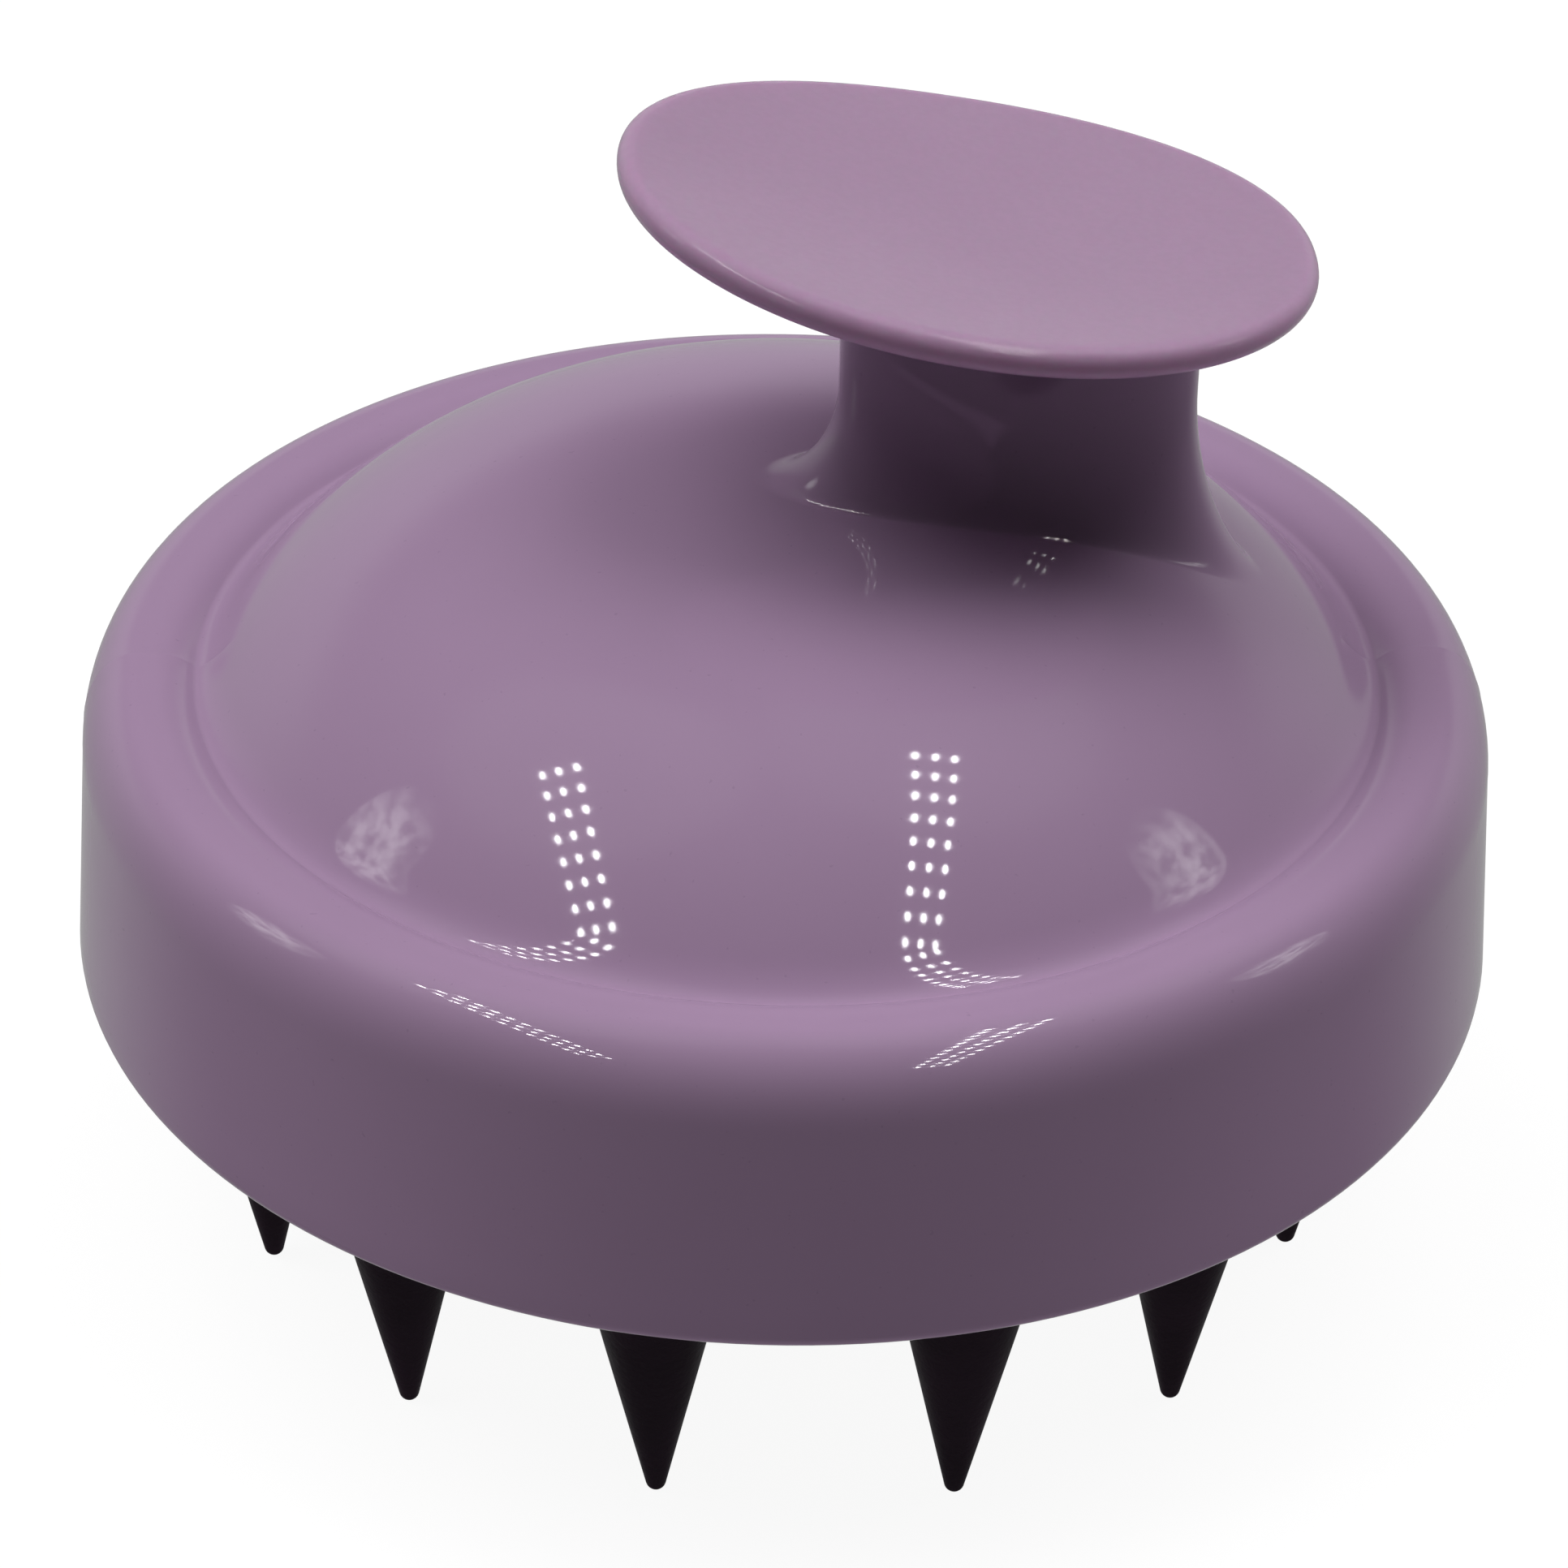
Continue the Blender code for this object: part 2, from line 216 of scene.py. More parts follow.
# Dim windows to either side, in glossy surfaces only: name and azimuth
WINDOWS = (("window_left", radians(-91)), ("window_right", radians(84)))
WINDOW_ELEVATION = radians(30)
WINDOW_HALF_WIDTH = 115.0
WINDOW_HALF_HEIGHT = 200.0
WINDOW_DISTANCE = 900.0
WINDOW_LIGHT = 4.0


# Mesh work


def closed_mesh(name, rings):
    """A closed mesh through rings of points in millimetres, with a face over the first and last ring."""
    shape = bmesh.new()
    made = [[shape.verts.new(Vector(p) * MM) for p in ring] for ring in rings]
    for low, high in zip(made, made[1:]):
        for i, corner in enumerate(low):
            j = (i + 1) % len(low)
            shape.faces.new((corner, low[j], high[j], high[i]))
    shape.faces.new(made[0])
    shape.faces.new(made[-1])
    bmesh.ops.recalc_face_normals(shape, faces=shape.faces)
    mesh = bpy.data.meshes.new(name)
    shape.to_mesh(mesh)
    shape.free()
    return mesh


def flat_mesh(name, outlines):
    """A mesh with one flat face for each outline of points in millimetres."""
    shape = bmesh.new()
    for outline in outlines:
        shape.faces.new([shape.verts.new(Vector(p) * MM) for p in outline])
    mesh = bpy.data.meshes.new(name)
    shape.to_mesh(mesh)
    shape.free()
    return mesh


def add_object(name, mesh):
    obj = bpy.data.objects.new(name, mesh)
    bpy.context.scene.collection.objects.link(obj)
    return obj


def combined(obj, operation, *meshes):
    """The object's mesh joined to, or cut by, other meshes, which are used up."""
    for i, mesh in enumerate(meshes):
        other = add_object(f"{obj.name}_tool_{i}", mesh)
        step = obj.modifiers.new("step", "BOOLEAN")
        step.operation = operation
        step.object = other
        step.solver = "EXACT"
        graph = bpy.context.evaluated_depsgraph_get()
        result = bpy.data.meshes.new_from_object(obj.evaluated_get(graph))
        obj.modifiers.clear()
        used = obj.data
        obj.data = result
        bpy.data.meshes.remove(used)
        bpy.data.objects.remove(other)
        bpy.data.meshes.remove(mesh)
    return obj


def smooth(obj, sharp_degrees):
    """Smooth shading, with the corners sharper than this left as edges."""
    obj.data.shade_smooth()
    obj.data.set_sharp_from_angle(angle=radians(sharp_degrees))


def superellipse(half_x, half_y, power, shares):
    """Points (x, y) at these shares of the way round from +X, evenly by length."""
    steps = 2000
    dense = []
    for i in range(steps + 1):
        c, s = cos(2 * pi * i / steps), sin(2 * pi * i / steps)
        x = half_x * abs(c) ** (2 / power) * (1 if c >= 0 else -1)
        y = half_y * abs(s) ** (2 / power) * (1 if s >= 0 else -1)
        dense.append((x, y))
    lengths = [0.0]
    for (ax, ay), (bx, by) in zip(dense, dense[1:]):
        lengths.append(lengths[-1] + hypot(bx - ax, by - ay))
    points = []
    i = 0
    for share in shares:
        goal = share * lengths[-1]
        while lengths[i + 1] < goal:
            i += 1
        part = (goal - lengths[i]) / (lengths[i + 1] - lengths[i])
        (ax, ay), (bx, by) = dense[i], dense[i + 1]
        points.append((ax + (bx - ax) * part, ay + (by - ay) * part))
    return points


def arc(radius, z, size, start, end, count):
    """Points on a circle about (radius, z), from one angle to the other, in degrees from +radius."""
    angles = [radians(start + (end - start) * i / (count - 1)) for i in range(count)]
    return [(radius + size * cos(a), z + size * sin(a)) for a in angles]


def circle(radius, z, shares):
    return [(radius * cos(2 * pi * t), radius * sin(2 * pi * t), z) for t in shares]


def even_shares(count):
    return [i / count for i in range(count)]


def turned_mesh(name, profile, sides, centre=(0.0, 0.0)):
    """A closed solid of revolution about a vertical axis, from (radius, z) points of one outline."""
    shares = even_shares(sides)
    rings = []
    for radius, z in profile:
        rings.append([(x + centre[0], y + centre[1], z) for x, y, z in circle(radius, z, shares)])
    return closed_mesh(name, rings)


def cylinder_mesh(name, radius, bottom, top, centre, sides=48):
    return turned_mesh(name, [(radius, bottom), (radius, top)], sides, centre)


def screw_place(node):
    """Where a screw's axis stands, in millimetres."""
    low, high = node_box(node)
    return (low.x + high.x) / 2, (low.y + high.y) / 2


# Shell


def shell_shares():
    """Shares of the way round, with extra points beside the two parting lines."""
    shares = even_shares(SHELL_SIDES)
    reach = PARTING_HALF_WIDTH / (2 * pi * LIP_RADIUS)
    for middle in (0.0, 0.5):
        for offset in (-2.2, -1.0, 1.0, 2.2):
            shares.append((middle + offset * reach) % 1.0)
    return sorted(shares)


def dome_height(radius):
    fall = (radius / DOME_FOOT_RADIUS) ** DOME_POWER
    return DOME_FOOT_Z + (DOME_Z - DOME_FOOT_Z) * (1 - fall)


def dome_slope(radius):
    drop = (DOME_Z - DOME_FOOT_Z) * DOME_POWER / DOME_FOOT_RADIUS
    return -drop * (radius / DOME_FOOT_RADIUS) ** (DOME_POWER - 1)


def under_height(radius):
    """Height of the dome's underside, thicker towards the lip."""
    return dome_height(radius) - WALL * (1 + 0.5 * (radius / 31.0) ** 4)


def dish(x, y):
    """How far the grip rises at this place, counted along its own axes from the middle."""
    return DISH_X * (x / GRIP_HALF_LENGTH) ** 2 + DISH_Y * (y / GRIP_HALF_WIDTH) ** 2


def grip_underside(x, y):
    """Height of the grip's underside at this place."""
    top = GRIP_Z + dish((x - GRIP_X) / cos(GRIP_TILT), y) - (x - GRIP_X) * tan(GRIP_TILT)
    return top - GRIP_THICKNESS / cos(GRIP_TILT)


def neck_oval(grow_x, grow_y, shares):
    outline = superellipse(NECK_HALF_WIDTH + grow_x, NECK_HALF_DEPTH + grow_y, NECK_POWER, shares)
    return [(NECK_X + x, y) for x, y in outline]


def foot_oval(shares):
    """The outline of the neck's foot on the dome, turned a little and further forward than the waist."""
    half_x, half_y = NECK_HALF_WIDTH + NECK_FLARE_X, NECK_HALF_DEPTH + NECK_FLARE_Y
    turned = []
    for x, y in superellipse(half_x, half_y, 2.0, shares):
        along = x * cos(FOOT_TURN) - y * sin(FOOT_TURN)
        across = x * sin(FOOT_TURN) + y * cos(FOOT_TURN)
        turned.append((NECK_X + along, across - FOOT_FORWARD))
    return turned


def slot_rings(shares):
    """The hollow in the neck that takes the grip's tongue, floor first."""
    inner = neck_oval(-SLOT_WALL, -SLOT_WALL, shares)
    rings = [[(x, y, SLOT_FLOOR_Z) for x, y in inner]]
    rings.append([(x, y, grip_underside(x, y) - SEAM - SLOT_MOUTH_DROP) for x, y in inner])
    return rings


def neck_rings(shares):
    """The neck's outer face, from its rim under the grip down to the dome."""
    rings = []
    for inward in (NECK_RIM_WIDTH, 0.25, 0.0):
        grow = NECK_TOP_FLARE - inward
        outline = neck_oval(grow, grow, shares)
        drop = SEAM + NECK_RIM_DROP * (1 - inward / NECK_RIM_WIDTH)
        rings.append([(x, y, grip_underside(x, y) - drop) for x, y in outline])
    for angle in (80, 70, 60, 48, 36, 24, 12, 0):
        grow = NECK_TOP_FLARE * (1 - cos(radians(angle)))
        drop = NECK_TOP_DROP * (1 - sin(radians(angle))) + SEAM + NECK_RIM_BREAK
        rings.append([(x, y, grip_underside(x, y) - drop) for x, y in neck_oval(grow, grow, shares)])
    waist = neck_oval(0.0, 0.0, shares)
    steps = 20
    for step in range(1, steps):
        share = step / steps
        ring = []
        for x, y in waist:
            start = grip_underside(x, y) - NECK_TOP_DROP - SEAM - NECK_RIM_BREAK
            z = start + (NECK_FOOT_Z - start) * share
            ring.append((x, y + dimple(x, y, z), z))
        rings.append(ring)
    return rings


def dimple(x, y, z):
    """How far the front of the neck is pressed in here."""
    if y > 0:
        return 0.0
    away = hypot(x - DIMPLE_X, z - DIMPLE_Z) / DIMPLE_RADIUS
    return DIMPLE_DEPTH * exp(-(away**6))


def foot_rings(shares):
    """The fillet from the neck's waist out to the dome, the waist first."""
    waist = neck_oval(0.0, 0.0, shares)
    foot = foot_oval(shares)
    rings = []
    steps = 26
    for step in range(steps):
        angle = pi / 2 * (1 - step / steps)
        ring = []
        for (wx, wy), (fx, fy) in zip(waist, foot):
            x = fx + (wx - fx) * sin(angle)
            y = fy + (wy - fy) * sin(angle)
            rise = NECK_FOOT_Z - dome_height(hypot(wx, wy))
            ring.append((x, y, dome_height(hypot(x, y)) + rise * (1 - cos(angle))))
        rings.append(ring)
    rings.append([(x, y, dome_height(hypot(x, y))) for x, y in foot])
    return rings


def spread_rings(inner, radius, height, shares, steps):
    """Rings from an inner outline out to a circle, leaving both ends out, on a surface of revolution."""
    rings = []
    outer = circle(radius, 0.0, shares)
    for step in range(1, steps):
        part = (1 - cos(pi * step / steps)) / 2
        ring = []
        for (ax, ay), (bx, by, _) in zip(inner, outer):
            x = ax + (bx - ax) * part
            y = ay + (by - ay) * part
            ring.append((x, y, height(hypot(x, y))))
        rings.append(ring)
    return rings


def fillet(start, start_slope, end, end_slope, count):
    """Points of a curve between two (radius, z) points, leaving and arriving at these slopes."""
    gap = end[0] - start[0]
    rise = end[1] - start[1]
    reach = (rise - end_slope * gap) / (start_slope - end_slope)
    apex = (start[0] + reach, start[1] + start_slope * reach)
    points = []
    for i in range(1, count + 1):
        t = i / (count + 1)
        weights = ((1 - t) ** 2, 2 * t * (1 - t), t * t)
        radius = weights[0] * start[0] + weights[1] * apex[0] + weights[2] * end[0]
        z = weights[0] * start[1] + weights[1] * apex[1] + weights[2] * end[1]
        points.append((radius, z))
    return points


def lip_profile():
    """The outline from the groove over the lip and down the wall to the bottom edge."""
    dome_end = (DOME_STOP_RADIUS, dome_height(DOME_STOP_RADIUS))
    inner = arc(LIP_CROWN_RADIUS, LIP_Z - LIP_INNER_ROUND, LIP_INNER_ROUND, LIP_INNER_ANGLE, 90, 10)
    arrive = -1 / tan(radians(LIP_INNER_ANGLE))
    groove = fillet(dome_end, dome_slope(DOME_STOP_RADIUS), inner[0], arrive, 9)
    wall_top, wall_bottom = LIP_Z - LIP_OUTER_DROP, EDGE_Z + EDGE_ROUND
    outer = []
    for step in range(19):
        angle = pi / 2 * (1 - step / 18)
        out = LIP_RADIUS - LIP_OUTER_REACH * (1 - cos(angle))
        outer.append((out, wall_top + LIP_OUTER_DROP * sin(angle)))
    wall = []
    for step in range(1, 10):
        share = step / 10
        radius = LIP_RADIUS + (EDGE_RADIUS - LIP_RADIUS) * share
        wall.append((radius, wall_top + (wall_bottom - wall_top) * share))
    edge = arc(EDGE_RADIUS - EDGE_ROUND, EDGE_Z + EDGE_ROUND, EDGE_ROUND, 0, -90, 8)
    return [dome_end] + groove + inner + outer + wall + edge


def lip_rings(shares):
    """The lip and wall, with a fine raised parting line where they cross the XZ plane."""
    profile = lip_profile()
    rings = []
    for i, (radius, z) in enumerate(profile):
        before, after = profile[max(i - 1, 0)], profile[min(i + 1, len(profile) - 1)]
        run, rise = after[0] - before[0], after[1] - before[1]
        length = hypot(run, rise)
        out, up = -rise / length, run / length
        ring = []
        for share in shares:
            angle = 2 * pi * share
            across = radius * sin(angle) / PARTING_HALF_WIDTH
            lift = PARTING_HEIGHT * exp(-(across**2)) if z > EDGE_Z + EDGE_ROUND else 0.0
            r = radius + out * lift
            ring.append((r * cos(angle), r * sin(angle), z + up * lift))
        rings.append(ring)
    return rings


def inside_rings(shares):
    """The hollow side, from the bottom edge up and in to the flat seat of the grip's screws."""
    inner_wall = EDGE_RADIUS - WALL
    roof = LIP_Z - WALL
    shoulder = LIP_RADIUS - WALL
    profile = [(inner_wall + 0.3, EDGE_Z), (inner_wall, EDGE_Z + 0.3), (shoulder + 0.4, roof - 6.0)]
    profile += arc(shoulder - 2.0, roof - 2.0, 2.0, 0, 90, 8)
    profile += [(35.2, roof), (33.8, roof - 0.35), (UNDER_END_RADIUS, under_height(UNDER_END_RADIUS))]
    rings = [circle(radius, z, shares) for radius, z in profile]
    seat = neck_oval(0.0, 0.0, shares)
    rings += reversed(spread_rings(seat, UNDER_END_RADIUS, under_height, shares, 14))
    rings.append([(x, y, under_height(hypot(x, y))) for x, y in seat])
    rings.append([(x, y, SEAT_Z + 0.2) for x, y in seat])
    rings.append([(x, y, SEAT_Z) for x, y in neck_oval(-0.2, -0.2, shares)])
    return rings


def make_shell(finish):
    shares = shell_shares()
    rings = slot_rings(shares) + neck_rings(shares) + foot_rings(shares)
    foot = foot_oval(shares)
    rings += spread_rings(foot, DOME_STOP_RADIUS, dome_height, shares, 30)
    rings += lip_rings(shares) + inside_rings(shares)
    shell = add_object("shell_moulding", closed_mesh("shell_moulding", rings))
    places = [screw_place(node) for node in PLATE_SCREWS]
    boss_foot = PLATE_LOW.z + PLATE_THICKNESS + GAP
    boss_top = dome_height(hypot(*places[0]) + BOSS_RADIUS) - WALL / 2
    boss = ((BOSS_RADIUS - 0.4, boss_foot), (BOSS_RADIUS, boss_foot + 0.4), (BOSS_RADIUS, boss_top))
    combined(shell, "UNION", *[turned_mesh("boss", boss, 48, place) for place in places])
    ways = [cylinder_mesh("way", BOSS_HOLE_RADIUS, boss_foot - 2, boss_foot + 12, place) for place in places]
    for node in GRIP_SCREWS:
        ways.append(cylinder_mesh("way", GRIP_SCREW_WAY, SEAT_Z - 3, SLOT_FLOOR_Z + 1, screw_place(node)))
    combined(shell, "DIFFERENCE", *ways)
    smooth(shell, 40)
    shell.data.materials.append(finish)
    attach(shell, "handle")
    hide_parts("shell")


# Grip


def grip_point(x, y, depth):
    """A point of the grip, from its place in the oval and its depth below the top."""
    tilted = Matrix.Rotation(GRIP_TILT, 4, "Y") @ Vector((x, y, dish(x, y) - depth))
    return tilted + Vector((GRIP_X, 0.0, GRIP_Z))


def grip_rings(shares):
    """The oval pad from the middle of its top, round its edge, to the middle of its underside."""
    rounding = GRIP_THICKNESS / 2
    flat_x, flat_y = GRIP_HALF_LENGTH - rounding, GRIP_HALF_WIDTH - rounding
    faces = [0.03, 0.1, 0.2, 0.3, 0.4, 0.5, 0.6, 0.7, 0.8, 0.87, 0.93, 0.97]
    outlines = [(flat_x * share, flat_y * share, 0.0) for share in faces]
    for step in range(17):
        angle = pi / 2 - pi * step / 16
        reach = rounding * cos(angle)
        outlines.append((flat_x + reach, flat_y + reach, rounding * (1 - sin(angle))))
    outlines += [(flat_x * share, flat_y * share, GRIP_THICKNESS) for share in reversed(faces)]
    rings = []
    for half_x, half_y, depth in outlines:
        outline = superellipse(half_x, half_y, GRIP_POWER, shares)
        rings.append([grip_point(x, y, depth) for x, y in outline])
    return rings


def tongue_mesh():
    """The oval tongue that goes down into the neck, with its lower edge broken."""
    shares = even_shares(96)
    inset = -SLOT_WALL - GAP
    low = [(x, y, TONGUE_Z) for x, y in neck_oval(inset - TONGUE_BREAK, inset - TONGUE_BREAK, shares)]
    middle = [(x, y, TONGUE_Z + 0.6) for x, y in neck_oval(inset, inset, shares)]
    high = [(x, y, grip_underside(x, y) + 1.0) for x, y in neck_oval(inset, inset, shares)]
    return closed_mesh("tongue", [low, middle, high])


def make_grip(finish):
    grip = add_object("grip_pad", closed_mesh("grip_pad", grip_rings(even_shares(GRIP_SIDES))))
    combined(grip, "UNION", tongue_mesh())
    holes = []
    for node in GRIP_SCREWS:
        place = screw_place(node)
        holes.append(cylinder_mesh("hole", GRIP_SCREW_HOLE, TONGUE_Z - 1, GRIP_SCREW_HOLE_TOP, place))
    combined(grip, "DIFFERENCE", *holes)
    smooth(grip, 40)
    grip.data.materials.append(finish)
    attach(grip, "handle")
    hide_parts("grip_cap")


# Tooth pad


def tooth_mesh(name, x, y, tip_z, lean):
    """A tapered tooth with a filleted root and a ball tip, bent a little towards its tip."""
    slant = atan2(TOOTH_SLOPE, 1)
    ball_z = tip_z + TOOTH_TIP_ROUND
    edge_radius = TOOTH_TIP_ROUND * cos(slant)
    edge_z = ball_z - TOOTH_TIP_ROUND * sin(slant)
    profile = [(edge_radius + TOOTH_SLOPE * (PAD_Z - edge_z) + 0.55, PAD_Z + 0.3)]
    for step in range(9):
        angle = radians(12 + 78 * step / 8)
        z = PAD_Z + 0.02 - TOOTH_ROOT_ROUND * (1 - cos(angle))
        flare = TOOTH_ROOT_ROUND * (1 - sin(angle))
        profile.append((edge_radius + TOOTH_SLOPE * (z - edge_z) + flare * 0.6, z))
    shank_top = profile[-1][1]
    for step in range(1, 13):
        z = shank_top + (edge_z - shank_top) * step / 12
        profile.append((edge_radius + TOOTH_SLOPE * (z - edge_z), z))
    profile += arc(0.0, ball_z, TOOTH_TIP_ROUND, -degrees(slant) - 12, -84, 6)
    shares = even_shares(TOOTH_SIDES)
    rings = []
    for radius, z in profile:
        bend = min(max((PAD_Z - z) / (PAD_Z - tip_z), 0.0), 1.0) ** 1.6
        shift_x, shift_y = x + lean[0] * bend, y + lean[1] * bend
        rings.append([(px + shift_x, py + shift_y, pz) for px, py, pz in circle(radius, z, shares)])
    return closed_mesh(name, rings)


def pad_mesh():
    top = PAD_Z + PAD_THICKNESS
    inner = PAD_RADIUS - PAD_RIM_WALL
    profile = [(0.5, top), (inner - 1.0, top)]
    profile += arc(inner - 1.0, top + 1.0, 1.0, -90, 0, 6)[1:]
    profile += [(inner, PAD_HIGH.z - 0.4)]
    profile += arc(inner + 0.6, PAD_HIGH.z - 0.6, 0.6, 150, 90, 3)[1:]
    profile += arc(PAD_RADIUS - 0.7, PAD_HIGH.z - 0.7, 0.7, 90, 0, 5)
    profile += arc(PAD_RADIUS - 0.9, PAD_Z + 0.9, 0.9, 0, -90, 7)
    profile += [(PAD_RADIUS - 2.0, PAD_Z), (0.5, PAD_Z)]
    return turned_mesh("tooth_pad", profile, SHELL_SIDES)


def make_pad(finish):
    spread = random.Random(11)
    pad = add_object("silicone_pad", pad_mesh())
    teeth = []
    for ring, (count, reach, tip_z, first) in enumerate(TOOTH_RINGS, 1):
        for k in range(count):
            angle = first + 2 * pi * k / count
            away, turn = TOOTH_LEAN * spread.random(), 2 * pi * spread.random()
            lean = (away * cos(turn), away * sin(turn))
            shift_x, shift_y = TOOTH_SHIFTS.get((ring, k + 1), (0.0, 0.0))
            x, y = reach * cos(angle) + shift_x, reach * sin(angle) + shift_y
            teeth.append(tooth_mesh(f"tooth_{ring}_{k + 1}", x, y, tip_z, lean))
    combined(pad, "UNION", *teeth)
    smooth(pad, 40)
    weigh = pad.modifiers.new("weigh normals", "WEIGHTED_NORMAL")
    weigh.keep_sharp = True
    pad.data.materials.append(finish)
    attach(pad, "brush_head")
    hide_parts("tooth_pad")


# Backing plate and screws


def plate_mesh():
    low, top = PLATE_LOW.z, PLATE_LOW.z + PLATE_THICKNESS
    profile = [(0.5, top), (PLATE_RADIUS - SKIRT_WALL - 0.8, top)]
    profile += arc(PLATE_RADIUS - SKIRT_WALL - 0.8, top + 0.8, 0.8, -90, 0, 5)[1:]
    skirt = PLATE_RADIUS - SKIRT_WALL
    profile += [(skirt, PLATE_HIGH.z - 0.3), (skirt + 0.3, PLATE_HIGH.z)]
    profile += [(PLATE_RADIUS - 0.4, PLATE_HIGH.z), (PLATE_RADIUS, PLATE_HIGH.z - 0.4)]
    profile += arc(PLATE_RADIUS - 0.7, low + 0.7, 0.7, 0, -90, 6)
    for middle in PLATE_GROOVES:
        profile += [(middle + 0.9, low), (middle + 0.6, low + 0.5)]
        profile += [(middle - 0.6, low + 0.5), (middle - 0.9, low)]
    profile += [(2.6, low), (2.2, low + 0.35), (0.9, low + 0.35), (0.7, low + 0.12), (0.3, low + 0.12)]
    return turned_mesh("plate", profile, SHELL_SIDES)


def make_plate(finish):
    plate = add_object("plate_moulding", plate_mesh())
    cuts = []
    for node in PLATE_SCREWS:
        place = screw_place(node)
        depth = PLATE_LOW.z + COUNTERBORE_DEPTH
        cuts.append(cylinder_mesh("hole", BOSS_HOLE_RADIUS, PLATE_LOW.z - 1, PLATE_LOW.z + 5, place))
        cuts.append(cylinder_mesh("counterbore", COUNTERBORE_RADIUS, PLATE_LOW.z - 1, depth, place))
    combined(plate, "DIFFERENCE", *cuts)
    smooth(plate, 25)
    plate.data.materials.append(finish)
    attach(plate, "handle")
    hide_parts("backing_plate")


def screw_mesh(name, head_radius, head_height, shank_radius, length, pitch):
    """A self-tapping pan-head screw pointing up, its head's underside at z = 0."""
    sides = 40
    profile = [(0.25 * head_radius, -head_height), (0.6 * head_radius, -0.97 * head_height)]
    profile += [(0.8 * head_radius, -0.86 * head_height), (0.94 * head_radius, -0.6 * head_height)]
    profile += [(head_radius, -0.3 * head_height), (head_radius, -0.08), (head_radius - 0.08, 0.0)]
    rings = [circle(radius, z, even_shares(sides)) for radius, z in profile]
    steps = int(length / pitch * 10)
    for step in range(steps + 1):
        z = length * step / steps
        ring = []
        for share in even_shares(sides):
            wave = abs(((z / pitch - share) % 1.0) - 0.5) * 2
            crest = max(0.0, 1 - wave * 2.2)
            taper = min(1.0, (length - z) / (1.6 * shank_radius) + 0.12)
            radius = shank_radius * (0.74 + 0.26 * crest) * taper
            ring.append((radius * cos(2 * pi * share), radius * sin(2 * pi * share), z))
        rings.append(ring)
    return closed_mesh(name, rings)


def recess_mesh(head_radius, head_height, turn):
    """One bar of the cross recess, narrower at its bottom."""
    rings = []
    for z, half_length, half_width in (
        (-head_height - 0.3, 0.62 * head_radius, 0.17 * head_radius),
        (-0.28 * head_height, 0.34 * head_radius, 0.1 * head_radius),
    ):
        near = [(-half_length, -half_width), (half_length, -half_width)]
        far = [(half_length, half_width), (-half_length, half_width)]
        ring = []
        for x, y in near + far:
            ring.append((x * cos(turn) - y * sin(turn), x * sin(turn) + y * cos(turn), z))
        rings.append(ring)
    return closed_mesh("recess", rings)


def make_screw(node, size, turn, finish):
    head_radius, head_height, shank_radius, pitch = size
    low, high = node_box(node)
    length = high.z - low.z - head_height
    name = f"{node}_steel"
    screw = add_object(name, screw_mesh(name, head_radius, head_height, shank_radius, length, pitch))
    bars = [recess_mesh(head_radius, head_height, turn + quarter) for quarter in (0.0, pi / 2)]
    combined(screw, "DIFFERENCE", *bars)
    smooth(screw, 35)
    screw.location = Vector((*screw_place(node), low.z + head_height)) * MM
    screw.data.materials.append(finish)
    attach(screw, "handle")
    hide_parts(node)


def make_screws(finish):
    turns = random.Random(5)
    for node in GRIP_SCREWS:
        make_screw(node, GRIP_SCREW_SIZE, pi * turns.random(), finish)
    for node in PLATE_SCREWS:
        make_screw(node, PLATE_SCREW_SIZE, pi * turns.random(), finish)


# Materials


def add_node(tree, kind, links=None, **settings):
    """A node with its settings, and its inputs either linked or set."""
    made = tree.nodes.new(kind)
    for key, value in settings.items():
        setattr(made, key, value)
    for key, value in (links or {}).items():
        if isinstance(value, bpy.types.NodeSocket):
            tree.links.new(value, made.inputs[key])
        else:
            made.inputs[key].default_value = value
    return made


def new_material(name, **constants):
    """A material whose shader's own sockets hold what is the same all over."""
    made = bpy.data.materials.new(name)
    made.use_nodes = True
    shader = made.node_tree.nodes["Principled BSDF"]
    for key, value in constants.items():
        shader.inputs[key.replace("_", " ")].default_value = value
    return made, made.node_tree, shader


def noise(tree, place, scale, detail=2.0, roughness=0.5, stretch=(1.0, 1.0, 1.0)):
    """Noise of this many features a metre, from 0 to 1."""
    mapped = add_node(tree, "ShaderNodeMapping", {"Vector": place, "Scale": stretch})
    links = {"Vector": mapped.outputs["Vector"], "Scale": scale, "Detail": detail, "Roughness": roughness}
    return add_node(tree, "ShaderNodeTexNoise", links).outputs["Fac"]


def ranged(tree, value, low, high, to_low, to_high):
    links = {"Value": value, "From Min": low, "From Max": high, "To Min": to_low, "To Max": to_high}
    return add_node(tree, "ShaderNodeMapRange", links).outputs["Result"]


def mixed(tree, share, first, second):
    made = add_node(tree, "ShaderNodeMix", data_type="RGBA")
    tree.links.new(share, made.inputs["Factor"])
    for socket, value in (("A", first), ("B", second)):
        slot = next(s for s in made.inputs if s.name == socket and s.type == "RGBA")
        if isinstance(value, bpy.types.NodeSocket):
            tree.links.new(value, slot)
        else:
            slot.default_value = (*value, 1.0)
    return next(s for s in made.outputs if s.type == "RGBA")


def bumped(tree, height, distance, strength=1.0, normal=None):
    links = {"Height": height, "Distance": distance, "Strength": strength}
    if normal:
        links["Normal"] = normal
    return add_node(tree, "ShaderNodeBump", links).outputs["Normal"]


def object_place(tree):
    return add_node(tree, "ShaderNodeTexCoord").outputs["Object"]


def tinted(colour, factor):
    return tuple(channel * factor for channel in colour)


